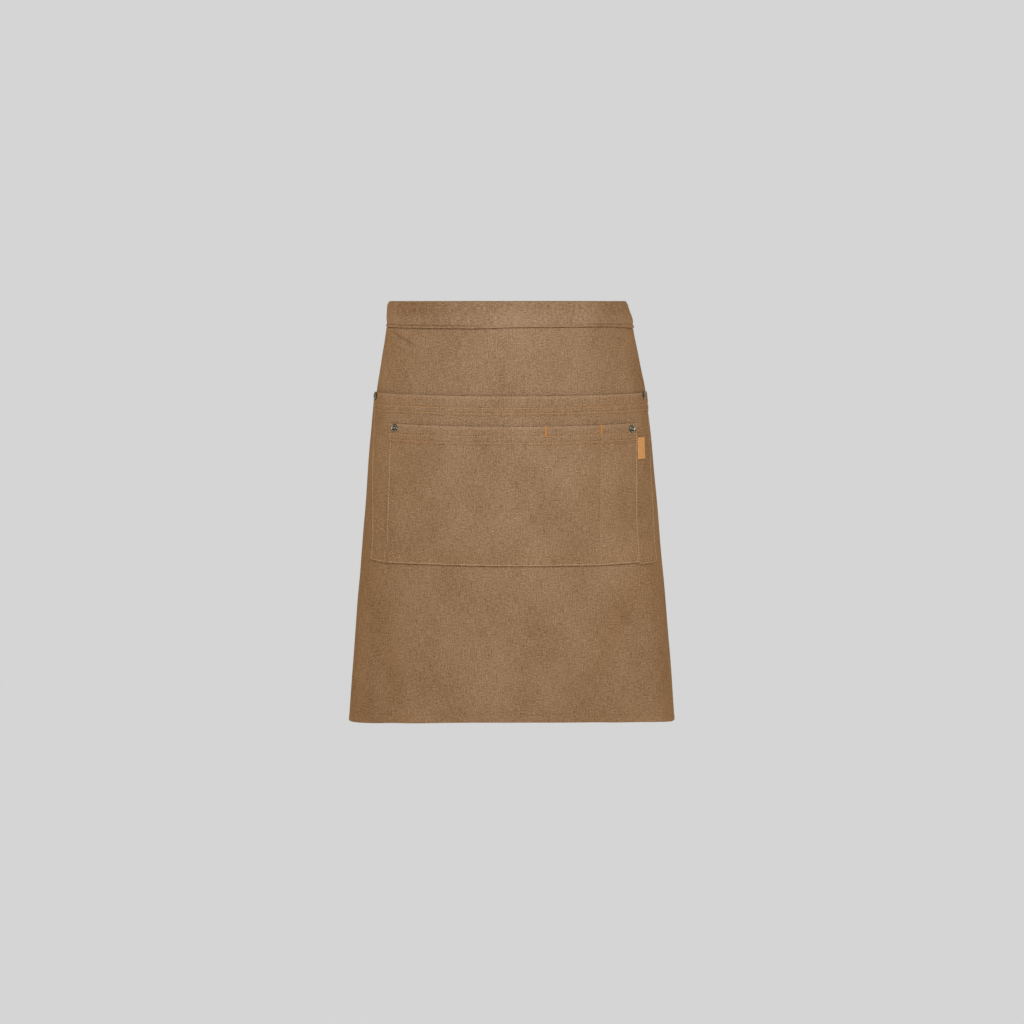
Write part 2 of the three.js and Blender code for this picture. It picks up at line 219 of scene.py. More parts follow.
# Small gathers beside the seams: height and reach, and the wave length, phase and share of the
# waves that they are made of
SEAM_GATHER = (0.1, 5)
HEM_GATHER = (0.1, 6)
BAND_CREASE_GATHER = (0.12, 6)
BAND_ROW_GATHER = (0.08, 4)
BAND_ROW_SHIFT = 40
GATHER_WAVES = ((1.9, 0, 1), (3.1, 1.3, 0.7))

# Stitches, and the bar tacks by seam and length
STITCH_LENGTH = 2.5
STITCH_PITCH = 3.1
DIVIDER_STITCH_LENGTH = 1.7
DIVIDER_STITCH_PITCH = 3.2
STITCH_SCATTER = 0.05
STITCH_SLANT = 0.05
STITCH_ARCH = 0.75
STITCH_SINK = 0.35
THREAD_RADIUS = 0.34
EDGE_ROOM = 1
BAND_END_ROOM = 2
BAND_ROOM = 3
RIVET_ROOM = 12
BARTACKS = ((FIRST_DIVIDER, 12.8), (SECOND_DIVIDER, 11))
BARTACK_WIDTH = 1.7
BARTACK_RADIUS = 0.36
BARTACK_START = 0.4
BARTACK_PITCH = 0.46

# Painted light and shade in the colour: above zero where the cloth is painted lighter, below where it is
# painted darker. Streaks of painted shade and painted light, beside the folds and the pockets' sides, have
# the columns of the folds, with the painted shading for the height.
PAINTED_SHADING_STREAKS = (
    (-157, 140, -157, 390, 16, -0.24),
    (-160, 340, -207, 545, 18, -0.25),
    (-185, 20, -172, 165, 20, 0.2),
    (-200, 170, -204, 340, 12, 0.13),
    (165, 40, 165, 130, 12, -0.15),
    (112, 225, 132, 435, 28, 0.2),
    (200, 230, 204, 430, 15, 0.17),
)
# Painted lines along a pocket's mouth and hem, a painted shade line and a painted highlight at the mouth and
# painted shade beside the hem rows: what the line follows, its distance below that, half-width, painted
# shading
MOUTH_PAINTED_LINES = (
    ("mouth", 0, 0.6, -0.3),
    ("mouth", 1.6, 0.9, 0.45),
    ("upper_row", -1.5, 0.7, -0.12),
    ("lower_row", -1.5, 0.7, -0.2),
    ("lower_row", 2.0, 0.9, -0.15),
)
# Painted shade in the creases under an edge: half-width, amount in the middle, and steps out to both sides
UNDER_BAND_SHADE = (0.6, 0.9, ((90, 130, -0.6),))
UNDER_POCKET_SHADE = (0.9, 0.6, ((LARGE_HALF - 10, LARGE_HALF - 4, -0.6),))
# Along the waistband, in steps across it: how sharp its crease is, which also sets the painted shade in the
# crease, the painted shade along the top and the painted highlight near the ends; and the painted light in
# the middle by amount, half-width and the drops where it begins and is full
CREASE_STEPS = ((-70, -25, -0.65), (75, 120, 0.65))
CREASE_SHADE = 0.4
CREASE_HALF = 0.6
BAND_TOP_SHADE_STEPS = ((-50, -130, 0.35), (-145, -205, -0.35), (85, 130, 0.2), (145, 200, -0.2))
BAND_TOP_SHADE_FADE = (12, 22)
BAND_END_HIGHLIGHT_STEPS = ((-145, -165, 0.33), (-215, -240, -0.33), (125, 150, 0.33), (215, 240, -0.33))
BAND_MIDDLE_LIGHT = (0.18, 60, 8, 20)


def smooth(value, low, high):
    part = np.clip((value - low) / (high - low), 0, 1)
    return part * part * (3 - 2 * part)


def steps(value, rows):
    """Sum of changes, each of which comes smoothly between its start and its end."""
    return sum(change * smooth(value, start, end) for start, end, change in rows)


def bell(distance, half):
    return np.exp(-((distance / half) ** 2))


# The cloth's surface


def column(name, drop):
    """A column of the sections at any drop, eased from row to row."""
    levels = np.array(SECTIONS["drop"], float)
    values = np.array(SECTIONS[name], float)
    rows = np.arange(len(levels))
    before = np.maximum(rows - 1, 0)
    after = np.minimum(rows + 1, rows[-1])
    slopes = (values[after] - values[before]) / (levels[after] - levels[before])
    within = np.clip(drop, levels[0], levels[-1])
    row = np.clip(np.searchsorted(levels, within) - 1, 0, rows[-2])
    span = levels[row + 1] - levels[row]
    part = (within - levels[row]) / span
    rise = part * part * (3 - 2 * part) * (values[row + 1] - values[row])
    leave = part * (1 - part) ** 2 * span * slopes[row]
    arrive = part * part * (1 - part) * span * slopes[row + 1]
    return values[row] + rise + leave - arrive


def hollow(across, drop, row):
    middle, half, begin, full, still, end, depth = row
    part = smooth(drop, begin, full) * (1 - smooth(drop, still, end))
    return depth * part * bell(across - middle, half)


def folds(across, drop, rows):
    """Height of a table's folds: a bell across each one, which swells and dies along it."""
    height = np.zeros(np.broadcast(across, drop).shape)
    for row in rows:
        fold = dict(zip(FOLD_COLUMNS, row))
        along = (drop - fold["from_drop"]) / (fold["to_drop"] - fold["from_drop"])
        along = np.clip(along, 0, 1)
        middle = fold["from_across"] + along * (fold["to_across"] - fold["from_across"])
        swell = np.sin(np.pi * along) ** 2
        height += fold["height"] * swell * bell(across - middle, fold["half"])
    return height


def fold_height(across, drop):
    height = folds(across, drop, BROAD_FOLDS + FINE_FOLDS)
    for wave_across, wave_drop, phase, size in RIPPLES:
        turn = 2 * np.pi * (across / wave_across + drop / wave_drop) + phase
        height += size * np.sin(turn)
    for row in HOLLOWS:
        height -= hollow(across, drop, row)
    return height


def oval(half, drop):
    """Arcs round half the body: depth, front arc's turn, distance of centres, side and front radius."""
    depth = column("depth", drop)
    turn = np.radians(column("turn", drop))
    spread = (half - depth) / (np.sin(turn) + np.cos(turn) - 1)
    side_radius = half - spread * np.sin(turn)
    return depth, turn, spread, side_radius, side_radius + spread


def cloth(across, drop, offset):
    """Points in metres for places on the cloth."""
    across, drop, offset = np.broadcast_arrays(across, drop, offset)
    body_arc = across + WORN_SHIFT
    sign = np.where(body_arc < 0, -1.0, 1.0)
    arc = np.abs(body_arc)
    half = np.where(sign < 0, column("left", drop), column("right", drop))
    depth, turn, spread, side_radius, front_radius = oval(half, drop)
    front_arc = front_radius * turn
    back_start = front_arc + side_radius * (np.pi - 2 * turn)
    in_front = arc < front_arc
    at_side = ~in_front & (arc < back_start)
    behind = np.pi - turn + (arc - back_start) / front_radius
    angle = np.where(in_front, arc / front_radius, behind)
    angle = np.where(at_side, turn + (arc - front_arc) / side_radius, angle)
    radius = np.where(at_side, side_radius, front_radius)
    centre_x = np.where(at_side, spread * np.sin(turn), 0)
    centre_y = np.where(in_front, front_radius - depth, depth - front_radius)
    centre_y = np.where(at_side, 0, centre_y)
    reach = radius + offset + fold_height(across, drop)
    part_round = arc / LIFT_ARC
    rise = column("lift", drop) * part_round ** 2 / np.cbrt(1 + part_round ** 6)
    x = sign * (centre_x + reach * np.sin(angle))
    y = centre_y - reach * np.cos(angle)
    z = BAND_HEIGHT / 2 - drop + rise
    return MM * np.stack([x, y, z], -1)


def half_loop(side, drop):
    """Length from the middle of the front to the middle of the back, round one side."""
    _, turn, _, side_radius, front_radius = oval(column(side, drop), drop)
    return float(2 * front_radius * turn + side_radius * (np.pi - 2 * turn))


# How edges hang and sides are drawn askew


def level(across, drop):
    """No change: a level edge, a straight side or cloth with no painted light or shade."""
    return 0 * across


def hanging(edge):
    edge_level, begin, full, rows = edge

    def hang(across, drop):
        return (edge_level + steps(across, rows)) * smooth(drop, begin, full)

    return hang


def swaying(sides):
    def sway(across, drop):
        return sum(steps(drop, rows) * smooth(across, begin, full) for begin, full, rows in sides)

    return sway


panel_hang = hanging(PANEL_EDGE)
large_hang = hanging(LARGE_EDGE)
front_hang = hanging(FRONT_EDGE)
band_edge_hang = hanging(BAND_EDGE)
band_corner_hang = hanging(BAND_CORNER)
large_sway = swaying(LARGE_SIDES)
front_sway = swaying(FRONT_SIDES)


def band_hang(across, drop):
    corner = band_corner_hang(across, drop) * smooth(drop, BAND_FADE, BAND_HEIGHT)
    return band_edge_hang(across, drop) + corner


def under_band(across, drop):
    """Distance from the crease under the waistband's lower edge."""
    return drop - BAND_HEIGHT - band_hang(across, BAND_HEIGHT) - UNDER_BAND_DROP


def under_pocket(across, drop):
    """Distance from the crease under the pockets' lower edge."""
    in_front = (across > FRONT_LEFT) & (across < FRONT_RIGHT)
    hung = np.where(in_front, front_hang(across, POCKET_BOTTOM), large_hang(across, POCKET_BOTTOM))
    return drop - POCKET_BOTTOM - hung - UNDER_POCKET_DROP


# Outer and inner faces of each layer


def groove(distance, shape=SEAM_GROOVE):
    depth, width = shape
    return -depth * bell(distance, width)


def gather(along, distance, shape):
    """Small gathers that the thread pulls into the cloth beside a seam."""
    height, reach = shape
    wave = sum(share * np.sin(along / length + phase) for length, phase, share in GATHER_WAVES)
    return height * wave * np.exp(-np.abs(distance) / reach)


def crease_part(across):
    """How sharply the waistband's lower edge is creased: least in the middle."""
    return 1 + steps(across, CREASE_STEPS)


def panel_outer(across, drop):
    hem = drop - PANEL_HEM_ROW
    seams = groove(hem) + groove(BACK_ROW - np.abs(across))
    seams += groove(under_band(across, drop), UNDER_BAND_GROOVE)
    return CLOTH + seams + gather(across, hem, SEAM_GATHER)


def panel_inner(across, drop):
    at_hem = smooth(drop, HEM_BOTTOM - HEM_WIDTH - HEM_STEP, HEM_BOTTOM - HEM_WIDTH)
    at_edge = smooth(np.abs(across), PANEL_HALF - HEM_WIDTH - HEM_STEP, PANEL_HALF - HEM_WIDTH)
    below_band = smooth(drop, BAND_HEIGHT + HEM_STEP, BAND_HEIGHT + 2 * HEM_STEP)
    return -HEM_FOLD * below_band * np.maximum(at_hem, at_edge)


def mouth_hem(drop, top, ease):
    """Thickness of the folded hem along a pocket's mouth, ending over the given ease."""
    return HEM_FOLD * (1 - smooth(drop, top + POCKET_HEM, top + POCKET_HEM + ease))


def gape_shape(across, start, end, drop, top):
    """How far a pocket stands open, from 0 to 1: least at its seams and close along its mouth."""
    beside = (2 * across - start - end) / (end - start)
    down = np.clip((drop - top) / (POCKET_BOTTOM - top), 0, 1)
    lip = LIP + (1 - LIP) * smooth(drop, top, top + LIP_REACH)
    return lip * np.maximum(0, 1 - beside ** 2) ** GAPE_EDGE * (1 - down ** GAPE_BELLY)


def pocket_cloth(drop):
    """Thickness of a pocket's cloth, pressed thin along its bottom seam."""
    pressed = smooth(drop, POCKET_BOTTOM - SEAM_PRESS_REACH, POCKET_BOTTOM - SEAM_PRESS_FULL)
    return CLOTH - SEAM_PRESS * pressed


def large_plain(across, drop):
    edge = LARGE_HALF - LARGE_FLAT_EDGE
    gape = LARGE_GAPE * gape_shape(across, -edge, edge, drop, LARGE_TOP)
    layers = CLOTH + SEAM_GAP + pocket_cloth(drop) + mouth_hem(drop, LARGE_TOP, POCKET_HEM_EASE)
    return layers + gape + hollow(across, drop, CORNER_HOLLOW)


def pocket_seams(across, drop, rows, upper_groove):
    """Relief of a pocket's hem and bottom seam."""
    upper, lower = rows
    seams = groove(drop - upper, upper_groove) + groove(drop - lower, HEM_GROOVE)
    seams += groove(drop - BOTTOM_CREASE, BOTTOM_GROOVE)
    return seams + gather(across, drop - lower, HEM_GATHER)


def large_outer(across, drop):
    seams = pocket_seams(across, drop, LARGE_HEM_ROWS, HEM_GROOVE)
    return large_plain(across, drop) + seams + groove(LARGE_HALF - EDGE_ROW - np.abs(across))


COMPARTMENTS = (
    (FRONT_LEFT + FRONT_FLAT_EDGE, FIRST_DIVIDER, MAIN_GAPE),
    (FIRST_DIVIDER, SECOND_DIVIDER, NARROW_GAPE),
    (SECOND_DIVIDER, FRONT_RIGHT - FRONT_FLAT_EDGE, NARROW_GAPE),
)


def front_plain(across, drop):
    gape = 0
    for start, end, size in COMPARTMENTS:
        gape += size * gape_shape(across, start, end, drop, FRONT_TOP)
    layers = SEAM_GAP + pocket_cloth(drop) + mouth_hem(drop, FRONT_TOP, POCKET_HEM_EASE)
    return large_plain(across, drop) + layers + gape


def front_outer(across, drop):
    seams = pocket_seams(across, drop, FRONT_HEM_ROWS, FRONT_UPPER_GROOVE)
    seams = seams + groove(across - FRONT_LEFT - EDGE_ROW) + groove(FRONT_RIGHT - EDGE_ROW - across)
    for divider in DIVIDERS:
        seams = seams + groove(across - divider) + gather(drop, across - divider, SEAM_GATHER)
    return front_plain(across, drop) + seams


def pocket_inner(plain, top):
    def face(across, drop):
        return plain(across, drop) - pocket_cloth(drop) - mouth_hem(drop, top, POCKET_HEM_STEP)

    return face


BAND_OUTER = CLOTH + SEAM_GAP + BAND_CLOTH
BAND_INNER = -SEAM_GAP - BAND_CLOTH
BAND_MIDDLE = (BAND_OUTER + BAND_INNER) / 2
BAND_RADIUS = (BAND_OUTER - BAND_INNER) / 2


def band_outer(across, drop):
    relief = groove(drop - BAND_TOP_ROW, BAND_ROW_GROOVE)
    relief += crease_part(across) * groove(drop - BAND_CREASE, BAND_CREASE_GROOVE)
    relief += gather(across, drop - BAND_CREASE, BAND_CREASE_GATHER)
    relief += gather(across + BAND_ROW_SHIFT, drop - BAND_TOP_ROW, BAND_ROW_GATHER)
    return BAND_OUTER + relief


def band_back(across, drop):
    return np.full(np.broadcast(across, drop).shape, BAND_INNER)


def tab_face(lift):
    def face(across, drop):
        out = (across - FRONT_RIGHT - SEAM_GAP) / TAB_WIDTH
        return large_plain(across, drop) + SEAM_GAP + lift + TAB_CURL * np.clip(out, 0, 1) ** 2

    return face


# Painted light and shade in the colour of each layer


# Painted shade along the crease under an edge
def painted_crease_shade(across, distance, crease):
    half, amount, rows = crease
    return (amount + steps(np.abs(across), rows)) * bell(distance, half)


# Painted shade under the waistband's and the pockets' lower edges, and the painted streaks of light and
# shade
def panel_painted_shading(across, drop):
    under_edge_shade = painted_crease_shade(across, under_band(across, drop), UNDER_BAND_SHADE)
    under_edge_shade += painted_crease_shade(across, under_pocket(across, drop), UNDER_POCKET_SHADE)
    return folds(across, drop, PAINTED_SHADING_STREAKS) - under_edge_shade


# Painted streaks, and the painted shade lines and painted highlight along a pocket's mouth and hem
def mouth_painted_shading(top, rows):
    places = {"mouth": top, "upper_row": rows[0], "lower_row": rows[1]}

    def painted_shading(across, drop):
        painted_shade_tone = folds(across, drop, PAINTED_SHADING_STREAKS)
        for place, below, half, amount in MOUTH_PAINTED_LINES:
            painted_shade_tone += amount * bell(drop - places[place] - below, half)
        return painted_shade_tone

    return painted_shading


# Painted highlight near the waistband's ends, painted light in its middle, painted shade along its top
# towards the sides and in its crease
def band_painted_shading(across, drop):
    amount, half, begin, full = BAND_MIDDLE_LIGHT
    lightened = steps(across, BAND_END_HIGHLIGHT_STEPS) + amount * bell(across, half) * smooth(drop, begin, full)
    top_shade = steps(across, BAND_TOP_SHADE_STEPS) * (1 - smooth(drop, *BAND_TOP_SHADE_FADE))
    crease_shade = CREASE_SHADE * crease_part(across) * bell(drop - BAND_CREASE, CREASE_HALF)
    return lightened - top_shade - crease_shade


# Mesh making


def new_object(name, points, faces):
    mesh = bpy.data.meshes.new(name)
    mesh.from_pydata(np.asarray(points).reshape(-1, 3).tolist(), [], faces)
    mesh.shade_smooth()
    made = bpy.data.objects.new(name, mesh)
    bpy.context.collection.objects.link(made)
    return made


def new_piece(name, points, faces, marks=None, painted_shading=None):
    """A piece of the apron, with marks as the cloth map: across and drop in metres."""
    piece = new_object(name, points, faces)
    mesh = piece.data
    if marks is not None:
        layer = mesh.uv_layers.new(name="cloth")
        corner = np.empty(len(mesh.loops), int)
        mesh.loops.foreach_get("vertex_index", corner)
        layer.data.foreach_set("uv", np.asarray(marks, float).reshape(-1, 2)[corner].ravel())
    # Painted light and shade for the colour, one value for each point
    if painted_shading is not None:
        attribute = mesh.attributes.new("painted_shading", "FLOAT", "POINT")
        attribute.data.foreach_set("value", np.asarray(painted_shading, float).ravel())
    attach(piece, "root")
    return piece


def ring_faces(ids):
    """Quads between each ring of points and the next."""
    turned = np.roll(ids, -1, axis=1)
    return np.stack([ids[:-1], turned[:-1], turned[1:], ids[1:]], -1).reshape(-1, 4).tolist()


# Lines of a mesh: how far they lie from an edge or a seam, the least room beside those for the
# even lines, as a share of their step, and the distance at which two are the same
EDGE_LINES = (0, 0.06, 0.2, 0.45, 0.8, 1.3, 2.2)
SEAM_LINES = (-2.2, -1.4, -0.7, 0, 0.7, 1.4, 2.2)
LEAST_ROOM = 0.5
SAME_LINE = 0.05


def grid_lines(start, end, step, seams=()):
    """Places of a mesh's lines from start to end, closer at both ends and at the seams."""
    even = np.linspace(start, end, max(2, round((end - start) / step) + 1))
    near = [start + inset for inset in EDGE_LINES] + [end - inset for inset in EDGE_LINES]
    for seam in seams:
        near += [seam + beside for beside in SEAM_LINES]
    near = [place for place in near if start <= place <= end]
    roomy = [x for x in even if min(abs(x - place) for place in near) > LEAST_ROOM * step]
    kept = []
    for place in sorted(set(np.round(roomy + near, 4))):
        if not kept or place - kept[-1] > SAME_LINE:
            kept.append(place)
    return np.array(kept)


def cloth_wall(name, acrosses, drops, outer, inner, hang=level, sway=level, painted_shading=level):
    """A closed sheet between two faces, rounded along all its edges."""
    across, drop = np.meshgrid(acrosses, drops)
    top = outer(across, drop)
    under = inner(across, drop)
    half = (top - under) / 2
    edge = np.minimum(
        np.minimum(across - acrosses[0], acrosses[-1] - across),
        np.minimum(drop - drops[0], drops[-1] - drop),
    )
    swell = np.sqrt(1 - (1 - np.clip(edge / half, 0, 1)) ** 2)
    middle = (top + under) / 2
    hung = drop + hang(across, drop)
    drawn = across + sway(across, drop)
    outside = cloth(drawn, hung, middle + half * swell)
    inside = cloth(drawn, hung, middle - half * swell)
    rows, columns = across.shape
    inner_count = (rows - 2) * (columns - 2)
    outer_id = np.arange(rows * columns).reshape(rows, columns)
    inner_id = outer_id.copy()
    inner_id[1:-1, 1:-1] = rows * columns + np.arange(inner_count).reshape(rows - 2, -1)
    points = np.concatenate([outside.reshape(-1, 3), inside[1:-1, 1:-1].reshape(-1, 3)])
    flat = np.stack([across, -drop], -1) * MM
    marks = np.concatenate([flat.reshape(-1, 2), flat[1:-1, 1:-1].reshape(-1, 2)])
    painted_shade_tone = np.concatenate([painted_shading(across, drop).ravel(), np.zeros(inner_count)])

    def quads(ids, order):
        corners = [ids[:-1, :-1], ids[1:, :-1], ids[1:, 1:], ids[:-1, 1:]]
        return np.stack([corners[k] for k in order], -1).reshape(-1, 4).tolist()

    faces = quads(outer_id, (0, 1, 2, 3)) + quads(inner_id, (0, 3, 2, 1))
    return new_piece(name, points, faces, marks, painted_shade_tone)


def swept_wall(name, acrosses, offsets, drops, painted_shading=None):
    """A ring of offsets and drops at each place across, carried along the cloth."""
    across = np.broadcast_to(np.asarray(acrosses, float)[:, None], offsets.shape)
    points = cloth(across, drops, offsets)
    ids = np.arange(offsets.size).reshape(offsets.shape)
    faces = ring_faces(ids) + [ids[0].tolist()[::-1], ids[-1].tolist()]
    step_out = np.diff(offsets, axis=1, prepend=offsets[:, :1])
    step_down = np.diff(drops, axis=1, prepend=drops[:, :1])
    around = np.cumsum(np.hypot(step_out, step_down), axis=1)
    marks = np.stack([across, -around], -1) * MM
    return new_piece(name, points, faces, marks, painted_shading)


# A stitch's rings along its length, and how thin and round its ends are
RING_SIDES = 6
RING_STEPS = (-0.5, -0.36, 0.0, 0.36, 0.5)
RING_ROUND = 0.97
RING_THIN = 0.15


def stitches(
    name, runs, hang=level, sway=level,
    radius=THREAD_RADIUS, length=STITCH_LENGTH, pitch=STITCH_PITCH, seed=7,
):
    """Thread: short rounded stitches along runs of direction, place, start, end, face and outwards."""
    rng = np.random.default_rng(seed)
    theta = np.arange(RING_SIDES) * 2 * np.pi / RING_SIDES
    step = np.array(RING_STEPS)
    slim = np.sqrt(np.clip(1 - (2 * step * RING_ROUND) ** 2, 0, 1)) * (1 - RING_THIN) + RING_THIN
    arch = STITCH_ARCH * (1 - (2 * step) ** 2) - STITCH_SINK
    height = arch[:, None] * radius + radius * slim[:, None] * np.sin(theta)[None, :]
    groups = []
    for direction, place, start, end, face, outwards in runs:
        count = max(1, int((end - start) / pitch))
        centre = start + (np.arange(count) + 0.5) * (end - start) / count
        centre += rng.normal(0, STITCH_SCATTER * pitch, count)
        slant = rng.normal(0, STITCH_SLANT, count)
        along = centre[:, None, None] + (step * length)[None, :, None]
        lean = slant[:, None, None] * (step * length)[None, :, None]
        beside = place + lean + radius * slim[None, :, None] * np.cos(theta)[None, None, :]
        along = np.broadcast_to(along, beside.shape)
        row = np.broadcast_to(place, along.shape)
        if direction == "across":
            across, drop, at_across, at_drop = along, beside, along, row
        else:
            across, drop, at_across, at_drop = beside, along, row, along
        across = across + sway(at_across, at_drop)
        drop = drop + hang(at_across, at_drop)
        groups.append(cloth(across, drop, face(at_across, at_drop) + outwards * height[None]))
    points = np.concatenate(groups)
    ids = np.arange(points[..., 0].size).reshape(points.shape[:3])
    turned = np.roll(ids, -1, axis=2)
    sides = np.stack([ids[:, :-1], ids[:, 1:], turned[:, 1:], turned[:, :-1]], -1)
    faces = sides.reshape(-1, 4).tolist() + ids[:, 0].tolist() + ids[:, -1, ::-1].tolist()
    return new_piece(name, points, faces)


def lathe(name, profile, place, axis, segments=40):
    """A turned piece: profile of radius and height in millimetres about an axis."""
    profile = np.array(profile, float)
    angle = np.arange(segments) * 2 * np.pi / segments
    side = axis.orthogonal().normalized()
    up = axis.cross(side)
    ring = np.cos(angle)[:, None] * np.array(side) + np.sin(angle)[:, None] * np.array(up)
    radius, height = profile[1:-1, 0] * MM, profile[1:-1, 1] * MM
    body = radius[:, None, None] * ring[None] + height[:, None, None] * np.array(axis)
    ends = profile[[0, -1], 1, None] * MM * np.array(axis)
    points = np.concatenate([ends, body.reshape(-1, 3)]) + np.array(place)
    ids = 2 + np.arange(body.shape[0] * segments).reshape(-1, segments)
    faces = ring_faces(ids)
    faces += [[0, b, a] for a, b in zip(ids[0], np.roll(ids[0], -1))]
    faces += [[1, a, b] for a, b in zip(ids[-1], np.roll(ids[-1], -1))]
    widths = np.concatenate([[0, 0], np.repeat(profile[1:-1, 0], segments)])
    marks = np.stack([widths, np.zeros(len(widths))], -1) * MM
    return new_piece(name, points, faces, marks)


# Pieces of cloth, leather and tape. The panel's lines run closer where it folds finely below the
# waistband. Where two runs of lines meet, one of them leaves out the line that both have.

BACK_MESH = 4.2
SKIRT_MESH = 3.6
BAND_MESH = 1.3
LARGE_MESH = 2.8
FRONT_MESH = 2.6
TAB_MESH = 1.0
PANEL_COLUMNS = ((-220, -184, 3), (-184, -104, 1.6), (-104, 220, SKIRT_MESH))
PANEL_ROWS = ((BAND_HEIGHT, 38, 0.45), (38, 76, BAND_MESH))
PANEL_SEAMS = (POCKET_BOTTOM - 0.5, POCKET_BOTTOM + 2.5, PANEL_HEM_ROW)
NEAR_LINES = len(EDGE_LINES) - 1

panel = cloth_wall(
    "apron_panel",
    np.concatenate([
        grid_lines(-PANEL_HALF, PANEL_COLUMNS[0][0], BACK_MESH, [-BACK_ROW])[:-1],
        *(np.arange(*run) for run in PANEL_COLUMNS),
        grid_lines(PANEL_COLUMNS[-1][1], PANEL_HALF, BACK_MESH, [BACK_ROW])[NEAR_LINES:],
    ]),
    np.concatenate([
        grid_lines(PANEL_TOP, BAND_HEIGHT, BAND_MESH)[:-NEAR_LINES],
        *(np.arange(*run) for run in PANEL_ROWS),
        grid_lines(PANEL_ROWS[-1][1], HEM_BOTTOM, SKIRT_MESH, PANEL_SEAMS)[NEAR_LINES:],
    ]),
    panel_outer, panel_inner, hang=panel_hang, painted_shading=panel_painted_shading,
)

BAND_LINES = (
    2, 3.5, 5, 6, 6.8, 7.5, 8.2, 9, 11, 13, 16, 19, 22, 24.5, 26, 26.8,
    27.2, 27.5, 27.9, 28.3, 28.6, 29.2, 29.9, 30.4, 30.8, 31,
)
BAND_ROUNDING = 0.6
BAND_COLUMNS = 331
FOLD_POINTS = 11
SLOT_LINES = (31, 26, 20, 10, 2.2)
SLOT_RISE = 0.15
SLOT_TOP = 1.2


def make_waistband():
    """A strip folded over the panel's edge: its outer face, the slot, its inner face and the fold."""
    acrosses = np.linspace(-BAND_HALF, BAND_HALF, BAND_COLUMNS)
    across, down = np.meshgrid(acrosses, BAND_LINES, indexing="ij")
    hung = down + band_hang(across, down)
    past = np.clip((down - BAND_HEIGHT + BAND_ROUNDING) / BAND_ROUNDING, 0, 1)
    lip = np.sqrt(1 - past ** 2)
    outer_middle = BAND_OUTER - BAND_CLOTH / 2
    outer_face = outer_middle + (band_outer(across, down) - outer_middle) * lip
    inner_half = BAND_CLOTH / 2 - groove(down - BAND_LOW_ROW, BAND_BACK_GROOVE)
    inner_face = BAND_INNER + BAND_CLOTH / 2 - inner_half * lip
    slot_across, slot_down = np.meshgrid(acrosses, SLOT_LINES, indexing="ij")
    slot_hung = slot_down + band_hang(slot_across, slot_down) - SLOT_RISE
    turn = np.linspace(0, np.pi, FOLD_POINTS)[1:-1]

    def repeat(values):
        return np.broadcast_to(np.asarray(values, float), (len(acrosses), len(values)))

    offsets = np.concatenate([
        outer_face,
        repeat([BAND_OUTER - BAND_CLOTH] * len(SLOT_LINES)),
        repeat([BAND_MIDDLE]),
        repeat([BAND_INNER + BAND_CLOTH] * len(SLOT_LINES)),
        inner_face[:, ::-1],
        repeat(BAND_MIDDLE - BAND_RADIUS * np.cos(turn)),
    ], axis=1)
    drops = np.concatenate([
        hung,
        slot_hung,
        repeat([SLOT_TOP]),
        slot_hung[:, ::-1],
        hung[:, ::-1],
        repeat(BAND_RADIUS - BAND_RADIUS * np.sin(turn)),
    ], axis=1)
    # Painted light and shade on the outer face only
    painted_shading = np.zeros(offsets.shape)
    painted_shading[:, :len(BAND_LINES)] = band_painted_shading(across, down)
    return swept_wall("apron_waistband", acrosses, offsets, drops, painted_shading)


waistband = make_waistband()

large_side = LARGE_HALF - EDGE_ROW
front_start = FRONT_LEFT + EDGE_ROW
front_end = FRONT_RIGHT - EDGE_ROW


def patch_pocket(name, left, right, seams, top, rows, mesh, outer, plain, hang, sway):
    """A pocket from left to right and from its top down, with its upright seams and hem rows."""
    hem_end = top + POCKET_HEM + POCKET_HEM_EASE / 2
    acrosses = grid_lines(left, right, mesh, seams)
    drops = grid_lines(top, POCKET_BOTTOM, mesh, [*rows, hem_end, BOTTOM_ROW])
    inner = pocket_inner(plain, top)
    return cloth_wall(name, acrosses, drops, outer, inner, hang, sway, mouth_painted_shading(top, rows))


large_pocket = patch_pocket(
    "apron_large_pocket", -LARGE_HALF, LARGE_HALF, [-large_side, large_side],
    LARGE_TOP, LARGE_HEM_ROWS, LARGE_MESH, large_outer, large_plain, large_hang, large_sway,
)
front_pocket = patch_pocket(
    "apron_front_pocket", FRONT_LEFT, FRONT_RIGHT, [front_start, *DIVIDERS, front_end],
    FRONT_TOP, FRONT_HEM_ROWS, FRONT_MESH, front_outer, front_plain, front_hang, front_sway,
)

tab_start = FRONT_RIGHT + SEAM_GAP
side_tab = cloth_wall(
    "apron_side_tab",
    grid_lines(tab_start, tab_start + TAB_WIDTH, TAB_MESH),
    grid_lines(TAB_TOP, TAB_BOTTOM, TAB_MESH),
    tab_face(TAB_THICKNESS),
    tab_face(0),
)

TIE_COLUMNS = 20
TIE_LINES = 9
TIE_EDGE_POINTS = 7
tie_middle = (TIE_TOP + TIE_BOTTOM) / 2
tie_right = half_loop("right", tie_middle) - WORN_SHIFT
tie_left = -half_loop("left", tie_middle) - WORN_SHIFT
tie_start = BAND_HALF - TIE_TUCK


